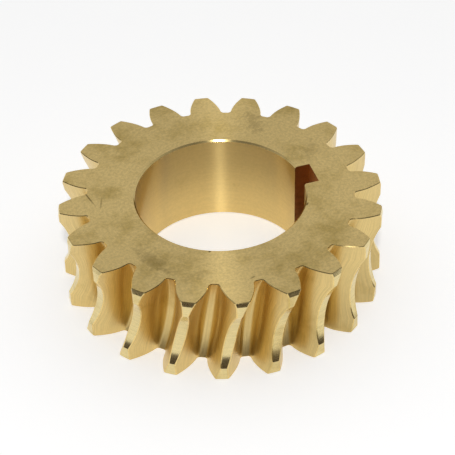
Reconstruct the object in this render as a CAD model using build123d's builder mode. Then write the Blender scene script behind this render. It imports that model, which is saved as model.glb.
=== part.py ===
"""Throated worm wheel, bronze, with a plain bore and one keyway.

Frame: the wheel's axis is Z, its lower face lies on Z = 0, and the keyway is
centred on +X. Lengths are in millimetres, angles in degrees. The teeth are the
shape that a cylindrical worm leaves in the blank when worm and wheel turn
together in step at the centre distance.
"""
from build123d import *

import math
import os

# tooth system
teeth = 20
worm_starts = 2
module_size = 3.15
axial_pressure_angle = 20.3
worm_reference_diameter = 35.5
worm_infeed = 0.45
root_clearance = 0.96
root_corner_radius = 0.72
tooth_from_keyway_angle = 3.7

# blank
face_width = 22.0
rim_rise = 2.0
throat_drop = 0.35
upper_chamfer_height = 1.1
upper_chamfer_depth = 0.3
lower_edge_break = 0.15

# bore and keyway
bore_diameter = 38.1
bore_chamfer = 0.35
key_width = 6.35
keyway_depth = 3.15

# how finely the tooth gaps are drawn
section_count = 4
flank_shares = (0, 0.4, 0.8)
root_edge_share = 0.6
overrun = 1.0
halvings = 30

# worm and wheel, worked out
pitch_radius = module_size * teeth / 2
worm_radius = worm_reference_diameter / 2
centre_distance = pitch_radius + worm_radius - worm_infeed
worm_pitch_radius = centre_distance - pitch_radius
worm_advance = worm_starts * module_size / 2
throat_radius = pitch_radius + module_size - worm_infeed
outside_radius = throat_radius + rim_rise

# cutter: the worm's profile, deeper by the root clearance and rounded at its corner
cutter_radius = worm_radius + module_size + root_clearance
pressure_angle = math.radians(axial_pressure_angle)
flank_slope = math.tan(pressure_angle)
pitch_half_gap = math.pi * module_size / 4 + worm_infeed * flank_slope
corner_centre = cutter_radius - root_corner_radius
corner_half_gap = (
    pitch_half_gap
    - (corner_centre - worm_pitch_radius) * flank_slope
    - root_corner_radius / math.cos(pressure_angle)
)
flank_end = corner_centre + root_corner_radius * math.sin(pressure_angle)

# throat: an arc round the worm's axis, between two straight stretches of rim
throat_height = face_width / 2 - throat_drop
throat_arc_radius = centre_distance - throat_radius
throat_half_height = math.sqrt(
    throat_arc_radius**2 - (centre_distance - outside_radius) ** 2
)


def wheel_point(side, height, rho, half_gap, rho_step, half_gap_step):
    """Point that the worm's profile leaves on the wheel, in one flat section.

    The worm's axial profile passes through radius rho with half thickness
    half_gap, in the direction (rho_step, half_gap_step). The section lies
    height above the wheel's mid plane. The worm's thread shifts the profile
    along the worm as the section leaves the mid plane. The wheel touches that
    profile where its normal passes through the pitch point.
    """
    depth = math.sqrt(rho**2 - height**2)
    along = side * half_gap - worm_advance * math.asin(height / rho)
    outward = centre_distance - depth
    along_step = side * half_gap_step + worm_advance * height * rho_step / (rho * depth)
    outward_step = -rho * rho_step / depth
    contact = (pitch_radius - outward) * outward_step / along_step
    turn = (contact - along) / pitch_radius
    return (
        contact * math.cos(turn) - outward * math.sin(turn),
        contact * math.sin(turn) + outward * math.cos(turn),
    )


def flank_point(side, height, depth):
    """Point of one flank where the worm's profile is depth from the worm's axis plane."""
    rho = math.hypot(depth, height)
    half_gap = pitch_half_gap - (rho - worm_pitch_radius) * flank_slope
    return wheel_point(side, height, rho, half_gap, 1, -flank_slope)


def leaving_depth(side, height):
    """Depth at which a flank stands clear of the blank by the overrun, by halving."""
    low = centre_distance - outside_radius - overrun
    high = math.sqrt(flank_end**2 - height**2)
    for _ in range(halvings):
        middle = (low + high) / 2
        if math.hypot(*flank_point(side, height, middle)) > outside_radius + overrun:
            low = middle
        else:
            high = middle
    return low


def corner_point(side, height, share):
    """Point that the cutter's rounded corner leaves, from its flank to its tip."""
    angle = (math.pi / 2 - pressure_angle) * (1 - share)
    rho = corner_centre + root_corner_radius * math.cos(angle)
    half_gap = corner_half_gap + root_corner_radius * math.sin(angle)
    return wheel_point(side, height, rho, half_gap, math.sin(angle), -math.cos(angle))


def flank_curve(side, height):
    """Points of one flank in one flat section, from outside the blank inward."""
    outer_depth = leaving_depth(side, height)
    inner_depth = math.sqrt(flank_end**2 - height**2)
    return [
        flank_point(side, height, outer_depth + (inner_depth - outer_depth) * share)
        for share in flank_shares
    ]


def curve_parameters():
    """Where each point of a flank lies along it, shared by all sections."""
    points = flank_curve(1, 0)
    lengths = [0]
    for start, end in zip(points, points[1:]):
        lengths.append(lengths[-1] + math.dist(start, end))
    return [length / lengths[-1] for length in lengths]


# blank: a ring with its edges broken, a chamfered upper rim and the throat
with BuildPart() as worm_wheel:
    with BuildSketch(Plane.XZ):
        with BuildLine():
            rim = Polyline(
                (outside_radius, throat_height - throat_half_height),
                (outside_radius, lower_edge_break),
                (outside_radius - lower_edge_break, 0),
                (bore_diameter / 2 + bore_chamfer, 0),
                (bore_diameter / 2, bore_chamfer),
                (bore_diameter / 2, face_width - bore_chamfer),
                (bore_diameter / 2 + bore_chamfer, face_width),
                (outside_radius - upper_chamfer_depth, face_width),
                (outside_radius, face_width - upper_chamfer_height),
                (outside_radius, throat_height + throat_half_height),
            )
            ThreePointArc(rim @ 1, (throat_radius, throat_height), rim @ 0)
        make_face()
    revolve(axis=Axis.Z)

    # keyway: a square-bottomed slot along the bore
    with BuildSketch(Plane.XY):
        Rectangle(
            bore_diameter / 2 + keyway_depth,
            key_width,
            align=(Align.MIN, Align.CENTER),
        )
    extrude(amount=face_width, mode=Mode.SUBTRACT)

# tooth gap: sections of the worm's sweep, from below the lower face to above the upper
parameters = curve_parameters()
with BuildPart() as tooth_gap:
    for index in range(section_count):
        share = index / (section_count - 1)
        height = (face_width / 2 + overrun) * (2 * share - 1)
        left = flank_curve(-1, height)
        right = flank_curve(1, height)
        with BuildSketch(Plane.XY.offset(face_width / 2 + height)):
            with BuildLine():
                for side in (left, right):
                    add(Edge.make_spline(side, parameters=parameters))
                Polyline(
                    left[-1],
                    corner_point(-1, height, root_edge_share),
                    corner_point(1, height, root_edge_share),
                    right[-1],
                )
                Line(left[0], right[0])
            make_face()
    loft()

# teeth: the gap cut out once for each tooth
first_gap_angle = tooth_from_keyway_angle + 180 / teeth - 90
with BuildPart(mode=Mode.PRIVATE) as gaps:
    with PolarLocations(0, teeth, start_angle=first_gap_angle):
        add(tooth_gap.part)

with worm_wheel:
    add(gaps.part, mode=Mode.SUBTRACT)

worm_wheel.part.label = "worm_wheel"
os.makedirs("parts", exist_ok=True)
export_step(worm_wheel.part, "parts/worm_wheel.step")
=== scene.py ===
"""Bronze worm wheel on a pale studio floor.

The wheel is one turned, hobbed and broached piece. Its visual mesh is a single
closed grid: one direction runs round the wheel, the other runs round the wheel's
cross-section. Lengths are in metres unless a name says otherwise.
"""

import enum
import logging
import math
from dataclasses import dataclass, field

import bpy
import numpy as np
from mathutils import Matrix, Vector


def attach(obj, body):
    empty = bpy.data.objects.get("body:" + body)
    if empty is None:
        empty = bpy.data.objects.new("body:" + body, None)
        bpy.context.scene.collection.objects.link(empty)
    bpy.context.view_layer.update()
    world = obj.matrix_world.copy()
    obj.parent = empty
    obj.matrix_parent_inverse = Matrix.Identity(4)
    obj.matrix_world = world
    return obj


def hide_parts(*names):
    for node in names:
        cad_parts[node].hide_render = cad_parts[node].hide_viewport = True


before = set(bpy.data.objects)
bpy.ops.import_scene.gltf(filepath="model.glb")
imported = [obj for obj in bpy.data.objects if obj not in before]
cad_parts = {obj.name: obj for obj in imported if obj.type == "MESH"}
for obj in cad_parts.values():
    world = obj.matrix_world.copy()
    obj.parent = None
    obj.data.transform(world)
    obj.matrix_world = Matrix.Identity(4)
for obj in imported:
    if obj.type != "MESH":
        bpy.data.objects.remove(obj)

LOG = logging.getLogger("worm_wheel")
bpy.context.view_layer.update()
MM = 0.001
Array = np.ndarray
Colour = tuple[float, float, float, float]
Socket = bpy.types.NodeSocket
Feed = Socket | float | Colour
# Times a bracket is halved when a distance is searched for.
HALVINGS = 40
# Direction from the axis toward the camera, turned from +X.
FRONT = math.radians(-107.2)


class Region(enum.IntEnum):
    """Surfaces of the wheel that are finished in different ways."""

    FACE = 0
    EDGE = 1
    TOOTH = 2
    LAND = 3
    BORE = 4
    KEYWAY = 5


@dataclass(frozen=True)
class ToothSystem:
    """Teeth of the wheel, and the worm-shaped cutter that leaves their gaps."""

    teeth: int = 20
    worm_starts: int = 2
    module: float = 3.15 * MM
    pressure_angle: float = math.radians(20.3)
    worm_radius: float = 17.75 * MM
    worm_infeed: float = 0.45 * MM
    root_clearance: float = 0.96 * MM
    corner_radius: float = 0.72 * MM
    tooth_from_keyway: float = math.radians(3.7)

    @property
    def pitch_radius(self) -> float:
        """Radius that rolls on the worm's pitch line."""
        return self.module * self.teeth / 2

    @property
    def centre_distance(self) -> float:
        """Distance between the wheel's axis and the worm's."""
        return self.pitch_radius + self.worm_radius - self.worm_infeed

    @property
    def worm_pitch_radius(self) -> float:
        """Radius on the worm that rolls on the wheel."""
        return self.centre_distance - self.pitch_radius

    @property
    def cutter_radius(self) -> float:
        """Outside radius of the cutter."""
        return self.worm_radius + self.module + self.root_clearance

    @property
    def pitch_half_gap(self) -> float:
        """Half thickness of the cutter's tooth where it rolls on the wheel."""
        return math.pi * self.module / 4 + self.worm_infeed * math.tan(self.pressure_angle)

    @property
    def corner_centre(self) -> float:
        """Radius from the worm's axis to the centre of the cutter's rounded corner."""
        return self.cutter_radius - self.corner_radius

    @property
    def corner_half_gap(self) -> float:
        """Half thickness of the cutter's tooth at the centre of its corner."""
        fall = (self.corner_centre - self.worm_pitch_radius) * math.tan(self.pressure_angle)
        return self.pitch_half_gap - fall - self.corner_radius / math.cos(self.pressure_angle)

    @property
    def flank_end(self) -> float:
        """Radius from the worm's axis where the straight flank meets the corner."""
        return self.corner_centre + self.corner_radius * math.sin(self.pressure_angle)

    def gap_point(
        self,
        side: int,
        height: Array,
        rho: Array,
        half_gap: Array,
        rho_step: Array,
        half_gap_step: Array,
    ) -> tuple[Array, Array]:
        """Points that the cutter leaves on the wheel, as radius and angle.

        In a flat section at a height above the mid plane, the cutter's profile is
        a rack, shifted along the worm by the thread's advance over the angle
        asin(height / rho). The wheel touches the rack where the rack's normal
        passes through the pitch point, and turns by that travel over the pitch
        radius.

        Args:
            side: 1 for the clockwise flank of the gap, -1 for the other.
            height: Height above the mid plane.
            rho: Distance from the worm's axis.
            half_gap: Half thickness of the cutter's tooth at rho.
            rho_step: Change of rho along the profile.
            half_gap_step: Change of half_gap along the profile.

        Returns:
            The radius from the wheel's axis, and the angle from the gap's middle
            in the mid plane, anticlockwise.
        """
        advance = self.worm_starts * self.module / 2
        depth = np.sqrt(rho**2 - height**2)
        along = side * half_gap - advance * np.arcsin(height / rho)
        outward = self.centre_distance - depth
        along_step = side * half_gap_step + advance * height * rho_step / (rho * depth)
        outward_step = -rho * rho_step / depth
        contact = (self.pitch_radius - outward) * outward_step / along_step
        turn = (contact - along) / self.pitch_radius
        return np.hypot(contact, outward), turn - np.arctan2(contact, outward)

    def flank(self, side: int, height: Array, depth: Array) -> tuple[Array, Array]:
        """Points of one flank at a depth below the worm's axis.

        Args:
            side: 1 for the clockwise flank of the gap, -1 for the other.
            height: Height above the mid plane.
            depth: Distance inward from the worm's axis, along the wheel's radius.

        Returns:
            Radius and angle, as gap_point gives them.
        """
        slope = math.tan(self.pressure_angle)
        rho = np.hypot(depth, height)
        half_gap = self.pitch_half_gap - (rho - self.worm_pitch_radius) * slope
        ones = np.ones_like(rho)
        return self.gap_point(side, height, rho, half_gap, ones, -slope * ones)

    def corner(self, side: int, height: Array, share: Array) -> tuple[Array, Array]:
        """Points of one rounded root corner.

        Args:
            side: 1 for the clockwise corner of the gap, -1 for the other.
            height: Height above the mid plane.
            share: 0 where the flank ends, 1 where the root starts.

        Returns:
            Radius and angle, as gap_point gives them.
        """
        angle = (math.pi / 2 - self.pressure_angle) * (1 - share)
        rho = self.corner_centre + self.corner_radius * np.cos(angle)
        half_gap = self.corner_half_gap + self.corner_radius * np.sin(angle)
        return self.gap_point(side, height, rho, half_gap, np.sin(angle), -np.cos(angle))

    def depth_at(self, side: int, height: Array, radius: Array) -> Array:
        """Depth at which a flank passes through a wheel radius, found by halving.

        Args:
            side: 1 for the clockwise flank of the gap, -1 for the other.
            height: Height above the mid plane.
            radius: Radius from the wheel's axis.

        Returns:
            The depth, for use with flank.
        """
        low = np.full_like(height, self.centre_distance - radius.max() - self.module / 4)
        high = np.sqrt(self.flank_end**2 - height**2)
        for _ in range(HALVINGS):
            middle = (low + high) / 2
            outside = self.flank(side, height, middle)[0] > radius
            low = np.where(outside, middle, low)
            high = np.where(outside, high, middle)
        return low


@dataclass(frozen=True)
class Blank:
    """Turned blank: face width, throat, upper chamfer and lower edge break."""

    face_width: float = 22.0 * MM
    outside_radius: float = 36.2 * MM
    throat_axis: float = ToothSystem().centre_distance
    throat_arc_radius: float = 14.6 * MM
    throat_height: float = 10.65 * MM
    upper_chamfer_height: float = 1.1 * MM
    upper_chamfer_depth: float = 0.3 * MM
    lower_edge_break: float = 0.15 * MM

    @property
    def throat_half_height(self) -> float:
        """Half the height of the throat, from its middle to one neck."""
        return math.sqrt(self.throat_arc_radius**2 - (self.throat_axis - self.outside_radius) ** 2)

    def radius_at(self, z: Array) -> Array:
        """Radius of the uncut blank at a height.

        The throat is an arc round the worm's axis. Above and below it the rim is a
        cylinder, coned in over the upper chamfer and the lower edge break.

        Args:
            z: Height above the lower face.

        Returns:
            The radius.
        """
        rise = np.clip(z - self.throat_height, -self.throat_half_height, self.throat_half_height)
        throat = self.throat_axis - np.sqrt(self.throat_arc_radius**2 - rise**2)
        slope = self.upper_chamfer_depth / self.upper_chamfer_height
        above = np.maximum(0, z - (self.face_width - self.upper_chamfer_height)) * slope
        below = np.maximum(0, self.lower_edge_break - z)
        return throat - above - below

    def heights(self, edge_break: float) -> Array:
        """Heights of the rows up the outside, with a row at every crease.

        Args:
            edge_break: Height of the small flat broken on each edge.

        Returns:
            Rising heights.
        """
        low = self.throat_height - self.throat_half_height
        high = self.throat_height + self.throat_half_height
        chamfer = self.face_width - self.upper_chamfer_height
        runs = (
            (edge_break, self.lower_edge_break, 1),
            (self.lower_edge_break, low, 4),
            (low, high, 26),
            (high, chamfer, 4),
            (chamfer, self.face_width - edge_break, 2),
        )
        rows = [np.linspace(start, end, count, endpoint=False) for start, end, count in runs]
        return np.concatenate(rows + [np.array([self.face_width - edge_break])])


@dataclass(frozen=True)
class Bore:
    """Plain bore with chamfered ends and one square-bottomed keyway on +X."""

    radius: float = 19.05 * MM
    chamfer: float = 0.35 * MM
    key_width: float = 6.35 * MM
    keyway_depth: float = 3.15 * MM
    floor_columns: int = 48
    wall_columns: int = 6

    def outline(self, radius: float, columns: int) -> Array:
        """Outline of the bore and keyway, as a closed ring of points.

        The ring is a circle from one keyway wall round to the other, two straight
        walls at half the key width, and a straight floor at the keyway's depth.
        It starts in the middle of the keyway's floor and runs anticlockwise.

        Args:
            radius: Radius of the circle at this height.
            columns: Number of points in the ring.

        Returns:
            Points as an array of shape (columns, 2).
        """
        half = self.key_width / 2
        floor_x = self.radius + self.keyway_depth
        wall_x = math.sqrt(radius**2 - half**2)
        floor_n, wall_n = self.floor_columns // 2, self.wall_columns
        floor_y = np.linspace(0, half, floor_n, endpoint=False)
        floor = np.stack([np.full_like(floor_y, floor_x), floor_y], axis=-1)
        run = np.linspace(floor_x, wall_x, wall_n, endpoint=False)
        wall = np.stack([run, np.full_like(run, half)], axis=-1)
        turn = math.atan2(half, wall_x)
        rest = columns - 2 * (floor_n + wall_n)
        angle = np.linspace(turn, 2 * math.pi - turn, rest + 1)
        circle = radius * np.stack([np.cos(angle), np.sin(angle)], axis=-1)
        mirror = np.array([1.0, -1.0])
        back = np.concatenate([floor[1:], wall])[::-1] * mirror
        return np.concatenate([floor, wall, circle, back])

    def keyway_columns(self, columns: int) -> Array:
        """Whether the face that starts at each point of the ring lies in the keyway."""
        index = np.arange(columns)
        reach = self.floor_columns // 2 + self.wall_columns
        return (index < reach) | (index >= columns - reach)


@dataclass
class WormWheel:
    """The wheel: one closed mesh from the teeth, round the faces, to the bore.

    Rows of the grid run up the outside, across the upper face, down the bore and
    back across the lower face. Columns run anticlockwise round the wheel.
    """

    teeth: ToothSystem = field(default_factory=ToothSystem)
    blank: Blank = field(default_factory=Blank)
    bore: Bore = field(default_factory=Bore)
    edge_break: float = 0.15 * MM
    flank_stop: float = 0.83
    corner_start: float = 0.12
    land_columns: int = 5
    flank_columns: int = 12
    corner_columns: int = 10
    root_columns: int = 2
    bore_rows: int = 5
    outer_ring_radius: float = 28.0 * MM
    inner_ring_radius: float = 24.0 * MM
    crease: float = math.radians(13)

    @property
    def gap_columns(self) -> int:
        """Number of columns from the middle of one tooth to the middle of the next."""
        side = self.land_columns + self.flank_columns + self.corner_columns
        return 2 * side + self.root_columns + 2

    @property
    def columns(self) -> int:
        """Number of columns in the whole grid."""
        return self.teeth.teeth * self.gap_columns

    def gap_side(self, side: int, height: Array, tip: Array) -> tuple[Array, Array]:
        """One side of a gap in each row, from the tooth's tip edge to the root.

        The flank runs in equal steps of depth from the tip to where the cutter's
        corner has undercut it, and the rounded corner goes on from there.

        Args:
            side: 1 for the clockwise side, -1 for the other.
            height: Heights above the mid plane, of shape (rows, 1).
            tip: Radius of the blank in each row, of shape (rows, 1).

        Returns:
            Radius and angle, each of shape (rows, points).
        """
        teeth = self.teeth
        start = teeth.depth_at(side, height, tip - self.edge_break)
        outer = teeth.depth_at(side, height, np.full_like(tip, self.blank.outside_radius))
        inner = np.sqrt(teeth.flank_end**2 - height**2)
        stop = outer + (inner - outer) * self.flank_stop
        share = np.linspace(0, 1, self.flank_columns + 1)
        flank_r, flank_a = teeth.flank(side, height, start + (stop - start) * share)
        share = np.linspace(self.corner_start, 1, self.corner_columns)
        corner_r, corner_a = teeth.corner(side, height, share[None, :] + 0 * height)
        return np.hstack([flank_r, corner_r]), np.hstack([flank_a, corner_a])

    def outline(self, z: Array, tip: Array) -> Array:
        """Outline of the toothed rim at each height, as a closed ring of points.

        Each gap is drawn from the middle of one tip land to the middle of the next:
        half a land, a broken edge, one side of the gap, the root arc, the other
        side, a broken edge and half a land. The ring repeats it for every tooth.

        Args:
            z: Heights above the lower face, of shape (rows,).
            tip: Radius of the blank at each height, of shape (rows,).

        Returns:
            Points as an array of shape (rows, columns, 2).
        """
        height = (z - self.blank.face_width / 2)[:, None]
        tip = tip[:, None]
        pitch = 2 * math.pi / self.teeth.teeth
        radii, angles, lands = {}, {}, {}
        for side in (1, -1):
            radii[side], angles[side] = self.gap_side(side, height, tip)
            edge = self.teeth.flank(side, height, self.teeth.depth_at(side, height, tip))[1]
            lands[side] = edge - side * self.edge_break / tip
        middle = (lands[-1] - pitch + lands[1]) / 2
        share = np.linspace(0, 1, self.land_columns + 1)
        root = np.linspace(0, 1, self.root_columns + 1)[1:-1]
        root_a = angles[1][:, -1:] * (1 - root) + angles[-1][:, -1:] * root
        root_r = radii[1][:, -1:] + 0 * root_a
        angle = np.hstack(
            [
                middle + (lands[1] - middle) * share,
                angles[1],
                root_a,
                angles[-1][:, ::-1],
                (lands[-1] + (middle + pitch - lands[-1]) * share)[:, :-1],
            ]
        )
        land = tip + 0 * share
        radius = np.hstack([land, radii[1], root_r, radii[-1][:, ::-1], land[:, :-1]])
        turns = self.teeth.tooth_from_keyway + pitch / 2 + pitch * np.arange(self.teeth.teeth)
        whole = (angle[:, None, :] + turns[None, :, None]).reshape(len(z), -1)
        reach = np.tile(radius, (1, self.teeth.teeth))
        return np.stack([reach * np.cos(whole), reach * np.sin(whole)], axis=-1)

    @staticmethod
    def inset(ring: Array, distance: float) -> Array:
        """Move a closed ring inward by a distance, each point along its mitre.

        The mitre is the sum of the two neighbouring edge normals over one plus
        their product.

        Args:
            ring: Points of shape (columns, 2), anticlockwise.
            distance: How far each edge moves.

        Returns:
            Points of the same shape.
        """
        step = np.roll(ring, -1, axis=0) - ring
        normal = np.stack([step[:, 1], -step[:, 0]], axis=-1)
        normal /= np.linalg.norm(normal, axis=1, keepdims=True)
        before = np.roll(normal, 1, axis=0)
        product = np.sum(normal * before, axis=1, keepdims=True)
        return ring - distance * (normal + before) / (1 + product)

    @staticmethod
    def raised(rings: Array, heights: Array) -> Array:
        """Add to flat rings of points the height of each ring.

        Args:
            rings: Points of shape (rows, columns, 2).
            heights: One height for each row.

        Returns:
            Points of shape (rows, columns, 3).
        """
        level = np.broadcast_to(heights[:, None, None], rings.shape[:2] + (1,))
        return np.concatenate([rings, level], axis=-1)

    def face_rings(self, z: float, edge: Array, roll: int) -> Array:
        """Rings of one flat face, from its toothed edge to the bore's chamfer.

        Args:
            z: Height of the face.
            edge: The face's outline, of shape (columns, 2).
            roll: Columns by which the bore's ring is turned to meet the outline.

        Returns:
            Four rings of shape (4, columns, 3).
        """
        mouth = self.bore.outline(self.bore.radius + self.bore.chamfer, self.columns)
        mouth = np.roll(mouth, -roll, axis=0)
        outer = edge * (self.outer_ring_radius / np.linalg.norm(edge, axis=1, keepdims=True))
        inner = mouth * (self.inner_ring_radius / np.linalg.norm(mouth, axis=1, keepdims=True))
        rings = np.stack([edge, outer, inner, mouth])
        return self.raised(rings, np.full(len(rings), z))

    def grid(self) -> tuple[Array, Array]:
        """All points of the mesh and the region of each of its faces.

        Returns:
            Points of shape (rows, columns, 3) and regions of shape (rows, columns).
        """
        width, flat = self.blank.face_width, self.edge_break
        heights = self.blank.heights(flat)
        rim = self.outline(heights, self.blank.radius_at(heights))
        outside = self.raised(rim, heights)
        ends = np.array([0.0, width])
        lower, upper = self.outline(ends, self.blank.radius_at(np.array([flat, width - flat])))
        roll = round(self.teeth.tooth_from_keyway / (2 * math.pi) * self.columns)
        top = self.face_rings(width, self.inset(upper, flat), roll)
        bottom = self.face_rings(0.0, self.inset(lower, flat), roll)[::-1]
        wall = np.roll(self.bore.outline(self.bore.radius, self.columns), -roll, axis=0)
        depths = np.linspace(width - self.bore.chamfer, self.bore.chamfer, self.bore_rows)
        inside = self.raised(np.broadcast_to(wall, (self.bore_rows,) + wall.shape), depths)
        points = np.concatenate([outside, top, inside, bottom])
        return points, self.regions(len(heights), len(points), roll)

    def regions(self, rim_rows: int, rows: int, roll: int) -> Array:
        """Region of each face of the grid, by its row and column.

        Args:
            rim_rows: Number of rows on the outside.
            rows: Number of rows in all.
            roll: Columns by which the bore's ring is turned.

        Returns:
            Regions of shape (rows, columns).
        """
        gap = np.full(self.gap_columns, Region.TOOTH)
        gap[: self.land_columns] = Region.LAND
        gap[-self.land_columns :] = Region.LAND
        gap[[self.land_columns, -self.land_columns - 1]] = Region.EDGE
        key = np.roll(self.bore.keyway_columns(self.columns), -roll)
        regions = np.full((rows, self.columns), Region.FACE)
        regions[: rim_rows - 1] = np.tile(gap, self.teeth.teeth)
        regions[rim_rows - 1] = Region.EDGE
        first = rim_rows + 3
        last = first + self.bore_rows + 1
        regions[first:last] = np.where(key, Region.KEYWAY, Region.BORE)
        regions[[first, last - 1]] = np.where(key, Region.KEYWAY, Region.EDGE)
        regions[-1] = Region.EDGE
        return regions

    def lay(self, points: Array) -> Array:
        """Map that follows the teeth: distance round the gaps, and height.

        The distance is the arc length along the rim's outline in the mid plane, the
        same for every row, so a line of constant distance runs along the tooth.

        Args:
            points: Grid points of shape (rows, columns, 3).

        Returns:
            Coordinates in metres for the four corners of each face, of shape
            (rows, columns, 4, 2).
        """
        rim = self.outline(
            np.array([self.blank.face_width / 2]),
            np.array([self.blank.outside_radius]),
        )[0]
        step = np.linalg.norm(np.roll(rim, -1, axis=0) - rim, axis=1)
        along = np.concatenate([[0.0], np.cumsum(step)])
        rows, columns = points.shape[:2]
        left = np.broadcast_to(along[:-1], (rows, columns))
        right = np.broadcast_to(along[1:], (rows, columns))
        low = points[..., 2]
        high = np.roll(low, -1, axis=0)
        pairs = ((left, low), (right, np.roll(low, -1, axis=1)))
        upper = ((right, np.roll(high, -1, axis=1)), (left, high))
        return np.stack([np.stack(pair, axis=-1) for pair in pairs + upper], axis=2)

    def build(self) -> bpy.types.Object:
        """Make the wheel's object, with its regions, creases and map.

        Each face joins a point to its neighbours in the next column and row, both
        of which wrap round, so the mesh is closed.

        Returns:
            The object, at the origin.
        """
        points, regions = self.grid()
        rows, columns = points.shape[:2]
        index = np.arange(rows * columns).reshape(rows, columns)
        right = np.roll(index, -1, axis=1)
        above = np.roll(index, -1, axis=0)
        across = np.roll(above, -1, axis=1)
        quads = np.stack([index, right, across, above], axis=-1).reshape(-1, 4)
        mesh = bpy.data.meshes.new("worm_wheel_bronze")
        mesh.from_pydata(points.reshape(-1, 3), [], quads.tolist())
        mesh.polygons.foreach_set("material_index", regions.reshape(-1).astype(np.int32))
        layer = mesh.uv_layers.new(name="lay")
        layer.data.foreach_set("uv", self.lay(points).reshape(-1))
        mesh.shade_smooth()
        mesh.set_sharp_from_angle(angle=self.crease)
        mesh.update()
        wheel = bpy.data.objects.new("worm_wheel_bronze", mesh)
        bpy.context.scene.collection.objects.link(wheel)
        LOG.info("worm wheel: %d rows of %d points", rows, columns)
        return wheel

    def dress(self, wheel: bpy.types.Object) -> None:
        """Give each region of the wheel its finish.

        Args:
            wheel: The wheel's object.
        """
        for region in Region:
            wheel.data.materials.append(FINISHES[region].material())
        LOG.info("worm wheel: %d finishes", len(Region))


class Lay(enum.Enum):
    """Direction of the tool marks on a surface."""

    TURNED = "rings round the axis"
    HOBBED = "lines along the tooth"
    BROACHED = "lines along the bore"


class Shading:
    """Node tree of one material, with short calls for the nodes it needs."""

    def __init__(self, name: str) -> None:
        """Start an empty material.

        Args:
            name: The material's name.
        """
        self.material = bpy.data.materials.new(name)
        self.material.use_nodes = True
        self.tree = self.material.node_tree
        self.tree.nodes.clear()

    def node(self, kind: str, **settings: object) -> bpy.types.Node:
        """Add a node and set its properties.

        Args:
            kind: The node's type.
            settings: Its properties, by name.

        Returns:
            The node.
        """
        node = self.tree.nodes.new(kind)
        for name, value in settings.items():
            setattr(node, name, value)
        return node

    def feed(self, socket: Socket, value: Feed) -> None:
        """Link a socket into another, or set it to a plain value.

        Args:
            socket: The input socket.
            value: What goes into it.
        """
        if isinstance(value, Socket):
            self.tree.links.new(value, socket)
        else:
            socket.default_value = value

    def math(self, operation: str, *values: Feed) -> Socket:
        """Result of one math operation.

        Args:
            operation: The operation's name.
            values: Its inputs in order.

        Returns:
            The output socket.
        """
        node = self.node("ShaderNodeMath", operation=operation)
        for socket, value in zip(node.inputs, values):
            self.feed(socket, value)
        return node.outputs[0]

    def weighted(self, *pairs: tuple[Socket, float]) -> Socket:
        """Sum of sockets, each times its weight.

        Args:
            pairs: Sockets and their weights.

        Returns:
            The output socket.
        """
        terms = [self.math("MULTIPLY", value, weight) for value, weight in pairs]
        total = terms[0]
        for term in terms[1:]:
            total = self.math("ADD", total, term)
        return total

    def vector(self, x: Feed, y: Feed, z: Feed) -> Socket:
        """Vector of three sockets or numbers."""
        node = self.node("ShaderNodeCombineXYZ")
        for socket, value in zip(node.inputs, (x, y, z)):
            self.feed(socket, value)
        return node.outputs[0]

    def split(self, vector: Socket) -> tuple[Socket, Socket, Socket]:
        """The three parts of a vector."""
        node = self.node("ShaderNodeSeparateXYZ")
        self.feed(node.inputs[0], vector)
        return tuple(node.outputs)

    def noise(self, vector: Socket, scale: float, detail: float, rough: float = 0.5) -> Socket:
        """Fractal noise from 0 to 1 over a vector.

        Args:
            vector: Where the noise is read.
            scale: Features in one unit of the vector.
            detail: Number of finer layers.
            rough: Strength of the finer layers.

        Returns:
            The output socket.
        """
        node = self.node("ShaderNodeTexNoise")
        self.feed(node.inputs["Vector"], vector)
        node.inputs["Scale"].default_value = scale
        node.inputs["Detail"].default_value = detail
        node.inputs["Roughness"].default_value = rough
        return node.outputs["Fac"]

    def remap(self, value: Socket, low: float, high: float, start: float, end: float) -> Socket:
        """Smooth step of a value from one range to another, held at its ends.

        Args:
            value: The value.
            low: Where the step begins.
            high: Where the step ends.
            start: Result at low.
            end: Result at high.

        Returns:
            The output socket.
        """
        node = self.node("ShaderNodeMapRange", interpolation_type="SMOOTHSTEP")
        self.feed(node.inputs["Value"], value)
        node.inputs["From Min"].default_value = low
        node.inputs["From Max"].default_value = high
        node.inputs["To Min"].default_value = start
        node.inputs["To Max"].default_value = end
        return node.outputs["Result"]

    def mix(self, share: Feed, first: Feed, second: Feed) -> Socket:
        """Mix of two colours.

        Args:
            share: Share of the second colour.
            first: The first colour.
            second: The second colour.

        Returns:
            The output socket.
        """
        node = self.node("ShaderNodeMix", data_type="RGBA")
        self.feed(node.inputs[0], share)
        for socket, value in ((node.inputs[6], first), (node.inputs[7], second)):
            self.feed(socket, value)
        return node.outputs[2]

    def finish(self, surface: Socket) -> bpy.types.Material:
        """Use a shader as the material's surface.

        Args:
            surface: The shader's output.

        Returns:
            The material.
        """
        output = self.node("ShaderNodeOutputMaterial")
        self.feed(output.inputs["Surface"], surface)
        return self.material


def linear(red: float, green: float, blue: float) -> Colour:
    """Screen colour as a linear colour, by the sRGB curve.

    Args:
        red: Red from 0 to 255.
        green: Green from 0 to 255.
        blue: Blue from 0 to 255.

    Returns:
        The linear colour, opaque.
    """
    share = np.array([red, green, blue]) / 255
    value = np.where(share <= 0.04045, share / 12.92, ((share + 0.055) / 1.055) ** 2.4)
    return (*map(float, value), 1.0)


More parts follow.
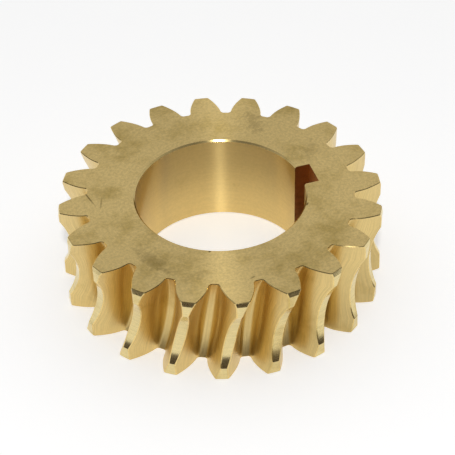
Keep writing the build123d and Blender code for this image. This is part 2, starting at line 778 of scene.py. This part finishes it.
@dataclass(frozen=True)
class Blemish:
    """Soft-edged dark mark on a flat face: a smudge, a scratch or a pit."""

    x: float
    y: float
    half_length: float
    half_width: float
    turn: float = 0.0
    strength: float = 0.5
    ragged: float = 0.8

    def share(self, shading: Shading, place: Socket) -> Socket:
        """How much the mark covers a point.

        The distance from the mark's middle, in half lengths and half widths, is
        made ragged by noise, and the cover falls from strength to nothing over it.

        Args:
            shading: The material's node tree.
            place: The point, in object coordinates.

        Returns:
            A share from 0 to strength.
        """
        mapping = shading.node("ShaderNodeMapping", vector_type="TEXTURE")
        mapping.inputs["Location"].default_value = (self.x, self.y, 22.0 * MM)
        mapping.inputs["Rotation"].default_value = (0.0, 0.0, math.radians(self.turn))
        mapping.inputs["Scale"].default_value = (self.half_length, self.half_width, 1.5 * MM)
        shading.feed(mapping.inputs["Vector"], place)
        length = shading.node("ShaderNodeVectorMath", operation="LENGTH")
        shading.feed(length.inputs[0], mapping.outputs[0])
        noise = shading.noise(place, 700.0, 3.0, 0.65)
        rough = shading.math("MULTIPLY", shading.math("SUBTRACT", noise, 0.5), self.ragged * 4)
        distance = shading.math("ADD", length.outputs["Value"], rough)
        return shading.remap(distance, 0.2, 1.0, self.strength, 0.0)


@dataclass(frozen=True)
class Finish:
    """Bronze surface: its colours, tool marks, blotches, gloss and any painted light and shade by height.
    """

    name: str
    lay: Lay
    colour: Colour
    stain: Colour
    stain_low: float = 0.45
    stain_high: float = 0.7
    roughness: float = 0.3
    roughness_spread: float = 0.1
    mark_pitch: float = 0.35 * MM
    mark_depth: float = 0.004 * MM
    grain_depth: float = 0.002 * MM
    anisotropy: float = 0.0
    mark_tone: float = 0.05
    mottle_tone: float = 0.06
    # Painted light and shade: factors on the colour low and high on the wheel, standing in for how light
    # falls and reflects there.
    painted_light_low: float = 1.0
    painted_light_high: float = 1.0
    blemishes: tuple[Blemish, ...] = ()

    def mark_vector(self, shading: Shading, place: Socket) -> Socket:
        """Coordinates that change fast across the tool marks and slowly along them.

        Rings use the distance from the axis and the height. Lines along the tooth
        use the wheel's own map, and lines along the bore the place across it.

        Args:
            shading: The material's node tree.
            place: The point, in object coordinates.

        Returns:
            The vector, in marks.
        """
        across = 1 / self.mark_pitch
        if self.lay is Lay.HOBBED:
            x, y, _ = shading.split(shading.node("ShaderNodeUVMap", uv_map="lay").outputs[0])
            fast = shading.math("MULTIPLY", x, across)
            return shading.vector(fast, shading.math("MULTIPLY", y, across * 0.02), 0.0)
        x, y, z = shading.split(place)
        if self.lay is Lay.BROACHED:
            fast = shading.math("MULTIPLY", y, across)
            return shading.vector(fast, shading.math("MULTIPLY", z, across * 0.03), 0.0)
        squares = shading.math("ADD", shading.math("MULTIPLY", x, x), shading.math("MULTIPLY", y, y))
        radius = shading.math("SQRT", squares)
        return shading.vector(
            shading.math("MULTIPLY", radius, across),
            shading.math("MULTIPLY", z, across),
            shading.weighted((x, across * 0.012), (y, across * 0.0084)),
        )

    def tone(self, shading: Shading, place: Socket, marks: Socket) -> Socket:
        """How much lighter or darker than its colour each point is.

        The tone is the product of the tool marks, a fine mottle and a slow change
        with height. The change with height is painted light and shade, not a tone of the bronze itself.

        Args:
            shading: The material's node tree.
            place: The point, in object coordinates.
            marks: The tool marks, from 0 to 1.

        Returns:
            A factor near 1.
        """
        mottle = shading.noise(place, 1500.0, 2.0, 0.7)
        shade = shading.math(
            "MULTIPLY",
            shading.remap(marks, 0.3, 0.7, 1 - self.mark_tone, 1 + self.mark_tone),
            shading.remap(mottle, 0.3, 0.7, 1 - self.mottle_tone, 1 + self.mottle_tone),
        )
        if self.painted_light_low == self.painted_light_high:
            return shade
        # Painted light and shade: the colour is scaled with height.
        height = shading.split(place)[2]
        rise = shading.remap(height, 3 * MM, 18 * MM, self.painted_light_low, self.painted_light_high)
        return shading.math("MULTIPLY", shade, rise)

    def material(self) -> bpy.types.Material:
        """Material of this finish.

        Blotches are broad noise. They darken the colour and change the gloss. Tool
        marks are fine noise stretched along the lay. Marks and grain raise the
        surface, and the gloss is stretched across the turned rings.

        Returns:
            The material.
        """
        shading = Shading(self.name)
        place = shading.node("ShaderNodeTexCoord").outputs["Object"]
        marks = shading.noise(self.mark_vector(shading, place), 1.0, 3.0, 0.6)
        blotch = shading.noise(place, 90.0, 4.0, 0.55)
        cloud = shading.noise(place, 420.0, 3.0, 0.6)
        grain = shading.noise(place, 3500.0, 2.0, 0.6)
        patches = shading.weighted((blotch, 0.7), (cloud, 0.3))
        stain = shading.remap(patches, self.stain_low, self.stain_high, 0.0, 1.0)
        colour = shading.mix(stain, self.colour, self.stain)
        for blemish in self.blemishes:
            colour = shading.mix(blemish.share(shading, place), colour, DIRT)
        toned = shading.node("ShaderNodeVectorMath", operation="SCALE")
        shading.feed(toned.inputs[0], colour)
        shading.feed(toned.inputs["Scale"], self.tone(shading, place, marks))
        rough = shading.math("MULTIPLY", stain, self.roughness_spread)
        bump = shading.node("ShaderNodeBump")
        bump.inputs["Strength"].default_value = 1.0
        bump.inputs["Distance"].default_value = 1.0
        height = shading.weighted((marks, self.mark_depth), (grain, self.grain_depth))
        shading.feed(bump.inputs["Height"], height)
        shader = shading.node("ShaderNodeBsdfPrincipled")
        shader.inputs["Metallic"].default_value = 1.0
        shader.inputs["Anisotropic"].default_value = self.anisotropy
        shading.feed(shader.inputs["Base Color"], toned.outputs[0])
        shading.feed(shader.inputs["Roughness"], shading.math("ADD", rough, self.roughness))
        shading.feed(shader.inputs["Normal"], bump.outputs[0])
        if self.anisotropy:
            tangent = shading.node("ShaderNodeTangent", direction_type="RADIAL", axis="Z")
            shading.feed(shader.inputs["Tangent"], tangent.outputs[0])
            shader.inputs["Anisotropic Rotation"].default_value = 0.25
        return shading.finish(shader.outputs[0])


BRONZE = linear(231, 204, 137)
DULL = linear(199, 173, 101)
DIRT = linear(112, 90, 44)
FACE_BLEMISHES: tuple[Blemish, ...] = (
    Blemish(15.3 * MM, 22.1 * MM, 6.0 * MM, 2.6 * MM, 90, 0.26),
    Blemish(-20.4 * MM, -16.5 * MM, 6.5 * MM, 2.8 * MM, -67, 0.28),
    Blemish(-12.5 * MM, -24.5 * MM, 4.0 * MM, 1.4 * MM, 10, 0.2),
    Blemish(24.5 * MM, 8.0 * MM, 5.0 * MM, 2.0 * MM, 60, 0.15),
    Blemish(-28.3 * MM, 8.6 * MM, 4.8 * MM, 0.3 * MM, -78, 0.8, 0.2),
    Blemish(-26.0 * MM, 5.4 * MM, 3.0 * MM, 0.3 * MM, 70, 0.45, 0.3),
    Blemish(-8.2 * MM, -17.9 * MM, 0.45 * MM, 0.4 * MM, 0, 1.0, 0.15),
    Blemish(16.9 * MM, -9.9 * MM, 0.8 * MM, 0.35 * MM, 50, 0.9, 0.15),
    Blemish(-2.0 * MM, -28.6 * MM, 0.9 * MM, 0.3 * MM, 20, 0.6, 0.2),
)
HOBBED = linear(224, 198, 134)
HOBBED_DULL = linear(200, 170, 102)
# Painted shade: the keyway's two colours are darkened to stand in for the shade inside its recess.
KEYWAY_PAINTED_SHADE = linear(190, 138, 84)
KEYWAY_PAINTED_SHADE_DULL = linear(140, 95, 52)
THROAT = linear(226, 207, 150)
THROAT_DULL = linear(208, 184, 122)
FINISHES: dict[Region, Finish] = {
    Region.FACE: Finish(
        "bronze_faced",
        Lay.TURNED,
        BRONZE,
        DULL,
        stain_low=0.42,
        stain_high=0.75,
        roughness=0.42,
        mark_pitch=0.2 * MM,
        mark_depth=0.0015 * MM,
        anisotropy=0.86,
        mark_tone=0.035,
        mottle_tone=0.1,
        blemishes=FACE_BLEMISHES,
    ),
    Region.EDGE: Finish("bronze_edge", Lay.TURNED, BRONZE, DULL, roughness=0.15, grain_depth=0.0005 * MM),
    Region.TOOTH: Finish(
        "bronze_hobbed",
        Lay.HOBBED,
        HOBBED,
        HOBBED_DULL,
        stain_low=0.5,
        stain_high=0.8,
        roughness=0.33,
        roughness_spread=0.03,
        mark_pitch=0.22 * MM,
        mark_depth=0.003 * MM,
        grain_depth=0.0002 * MM,
        mark_tone=0.1,
        mottle_tone=0.02,
    ),
    Region.LAND: Finish(
        "bronze_throat",
        Lay.TURNED,
        THROAT,
        THROAT_DULL,
        roughness=0.16,
        mark_pitch=0.4 * MM,
        mark_depth=0.004 * MM,
        grain_depth=0.0004 * MM,
        mottle_tone=0.03,
    ),
    Region.BORE: Finish(
        "bronze_bored_painted_light",
        Lay.TURNED,
        BRONZE,
        DULL,
        stain_low=0.6,
        stain_high=0.95,
        roughness=0.34,
        mark_depth=0.0003 * MM,
        grain_depth=0.0003 * MM,
        anisotropy=1.0,
        mark_tone=0.02,
        mottle_tone=0.03,
        # Painted light and shade: the bore is lighter low down and darker high up, standing in for what
        # its wall reflects.
        painted_light_low=1.1,
        painted_light_high=0.82,
    ),
    # Painted shade: the keyway gets darkened colours in place of the shade in its recess, on top of its
    # broached lines.
    Region.KEYWAY: Finish("bronze_broached_painted_shade", Lay.BROACHED, KEYWAY_PAINTED_SHADE, KEYWAY_PAINTED_SHADE_DULL, roughness=0.4),
}


@dataclass
class Studio:
    """Pale floor, soft overhead light and a dark card low in front."""

    floor_radius: float = 2.0
    floor_colour: Colour = (0.9, 0.9, 0.9, 1.0)
    floor_corners: int = 96
    glow: float = 0.39
    room_low: float = 0.08
    room_high: float = 0.8
    room_start: float = -0.1
    room_end: float = 1.0
    front_share: float = 1.0
    flash_power: float = 1.0
    flash_size: float = 0.03
    flash_distance: float = 0.6
    flash_rise: float = math.radians(52)
    card_radius: float = 0.092
    card_foot: float = 0.0005
    card_top: float = 0.035
    card_reach: float = math.radians(80)
    card_columns: int = 41
    card_colour: Colour = (0.16, 0.135, 0.12, 1.0)

    def stand(
        self, name: str, points: Array, faces: list, material: bpy.types.Material
    ) -> bpy.types.Object:
        """Add a mesh to the scene as part of the stage.

        Args:
            name: Name of the object and its mesh.
            points: The mesh's points.
            faces: The points of each face.
            material: Its material.

        Returns:
            The object.
        """
        mesh = bpy.data.meshes.new(name)
        mesh.from_pydata(points.tolist(), [], faces)
        mesh.materials.append(material)
        item = bpy.data.objects.new(name, mesh)
        bpy.context.scene.collection.objects.link(item)
        return item

    def floor(self) -> bpy.types.Object:
        """Flat round floor under the wheel, whitened a little where it is seen.

        Returns:
            The floor's object.
        """
        angle = np.linspace(0, 2 * math.pi, self.floor_corners, endpoint=False)
        ring = self.floor_radius * np.stack([np.cos(angle), np.sin(angle), 0 * angle], axis=-1)
        shading = Shading("floor_paper")
        diffuse = shading.node("ShaderNodeBsdfDiffuse")
        diffuse.inputs["Color"].default_value = self.floor_colour
        glow = shading.node("ShaderNodeEmission")
        path = shading.node("ShaderNodeLightPath")
        seen = path.outputs["Is Camera Ray"]
        for kind in ("Is Glossy Ray", "Is Transmission Ray"):
            seen = shading.math("MAXIMUM", seen, path.outputs[kind])
        shading.feed(glow.inputs["Strength"], shading.math("MULTIPLY", seen, self.glow))
        both = shading.node("ShaderNodeAddShader")
        shading.feed(both.inputs[0], diffuse.outputs[0])
        shading.feed(both.inputs[1], glow.outputs[0])
        return self.stand("floor", ring, [tuple(range(len(ring)))], shading.finish(both.outputs[0]))

    def card(self) -> bpy.types.Object:
        """Dark card standing low round the camera's side, seen only in the metal.

        It is part of a cylinder round the wheel, from the floor up.

        Returns:
            The card's object.
        """
        angle = np.linspace(FRONT - self.card_reach, FRONT + self.card_reach, self.card_columns)
        foot = self.card_radius * np.stack([np.cos(angle), np.sin(angle)], axis=-1)
        count = len(angle)
        low = np.column_stack([foot, np.full(count, self.card_foot)])
        high = np.column_stack([foot, np.full(count, self.card_top)])
        quads = [(i, i + 1, count + i + 1, count + i) for i in range(count - 1)]
        shading = Shading("dark_card")
        diffuse = shading.node("ShaderNodeBsdfDiffuse")
        diffuse.inputs["Color"].default_value = self.card_colour
        material = shading.finish(diffuse.outputs[0])
        card = self.stand("dark_card", np.vstack([low, high]), quads, material)
        card.visible_camera = False
        card.visible_shadow = False
        card.visible_diffuse = False
        return card

    def lamp(self, name: str, place: Vector, size: float, power: float) -> None:
        """Square soft lamp that faces the wheel.

        Args:
            name: The lamp's name.
            place: Its centre, in metres.
            size: Length of its side.
            power: Its power in watts.
        """
        light = bpy.data.lights.new(name, "AREA")
        light.shape = "SQUARE"
        light.size = size
        light.energy = power
        lamp = bpy.data.objects.new(name, light)
        lamp.location = place
        lamp.rotation_euler = (-place).to_track_quat("-Z", "Y").to_euler()
        bpy.context.scene.collection.objects.link(lamp)

    def world(self) -> None:
        """Soft room light: dark low on the camera's side, bright overhead and behind.

        The level is a smooth step of the height of the direction less a share of
        how far it points to the camera's side.
        """
        world = bpy.data.worlds.new("room")
        world.use_nodes = True
        tree = world.node_tree
        tree.nodes.clear()
        place = tree.nodes.new("ShaderNodeTexCoord")
        toward = tree.nodes.new("ShaderNodeVectorMath")
        toward.operation = "DOT_PRODUCT"
        toward.inputs[1].default_value = (
            -self.front_share * math.cos(FRONT),
            -self.front_share * math.sin(FRONT),
            1.0,
        )
        ramp = tree.nodes.new("ShaderNodeMapRange")
        ramp.interpolation_type = "SMOOTHSTEP"
        back = tree.nodes.new("ShaderNodeBackground")
        output = tree.nodes.new("ShaderNodeOutputWorld")
        levels = {
            "From Min": self.room_start,
            "From Max": self.room_end,
            "To Min": self.room_low,
            "To Max": self.room_high,
        }
        for name, value in levels.items():
            ramp.inputs[name].default_value = value
        tree.links.new(place.outputs["Generated"], toward.inputs[0])
        tree.links.new(toward.outputs["Value"], ramp.inputs["Value"])
        tree.links.new(ramp.outputs["Result"], back.inputs["Strength"])
        tree.links.new(back.outputs[0], output.inputs["Surface"])
        bpy.context.scene.world = world

    def build(self) -> None:
        """Set up the floor, the card, the lamp and the room's light."""
        self.floor()
        self.card()
        level = math.cos(self.flash_rise)
        toward = Vector((math.cos(FRONT) * level, math.sin(FRONT) * level, math.sin(self.flash_rise)))
        self.lamp("flash", toward * self.flash_distance, self.flash_size, self.flash_power)
        self.world()
        bpy.context.scene.view_settings.view_transform = "Standard"
        LOG.info("studio: floor, card and lamp")


@dataclass(frozen=True)
class View:
    """Camera above the wheel, on the side a quarter turn back from the keyway."""

    azimuth: float = math.radians(-17.2)
    elevation: float = math.radians(40.805)
    distance: float = 385.668 * MM
    shift_right: float = 1.4004 * MM
    shift_up: float = 8.9496 * MM
    roll: float = math.radians(-1.326)
    sensor: float = 36.0
    lens: float = 132.0369

    def build(self) -> bpy.types.Object:
        """Add the camera and make it the scene's camera.

        Returns:
            The camera's object.
        """
        back = Vector(
            (
                math.sin(self.azimuth) * math.cos(self.elevation),
                -math.cos(self.azimuth) * math.cos(self.elevation),
                math.sin(self.elevation),
            )
        )
        right = Vector((math.cos(self.azimuth), math.sin(self.azimuth), 0.0))
        up = back.cross(right)
        place = back * self.distance + right * self.shift_right + up * self.shift_up
        turned_right = right * math.cos(self.roll) + up * math.sin(self.roll)
        turned_up = up * math.cos(self.roll) - right * math.sin(self.roll)
        data = bpy.data.cameras.new("view")
        data.lens = self.lens
        data.sensor_width = self.sensor
        data.clip_start = 0.01
        camera = bpy.data.objects.new("view", data)
        frame_axes = Matrix((turned_right, turned_up, back)).transposed()
        camera.matrix_world = Matrix.Translation(place) @ frame_axes.to_4x4()
        bpy.context.scene.collection.objects.link(camera)
        bpy.context.scene.camera = camera
        LOG.info("camera: %.1f mm lens", self.lens)
        return camera


def main() -> None:
    """Build the wheel, the studio and the camera, in that order."""
    logging.basicConfig(level=logging.INFO, format="%(message)s")
    wheel = WormWheel()
    piece = wheel.build()
    wheel.dress(piece)
    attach(piece, "root")
    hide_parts("worm_wheel")
    Studio().build()
    View().build()


if __name__ == "__main__":
    main()
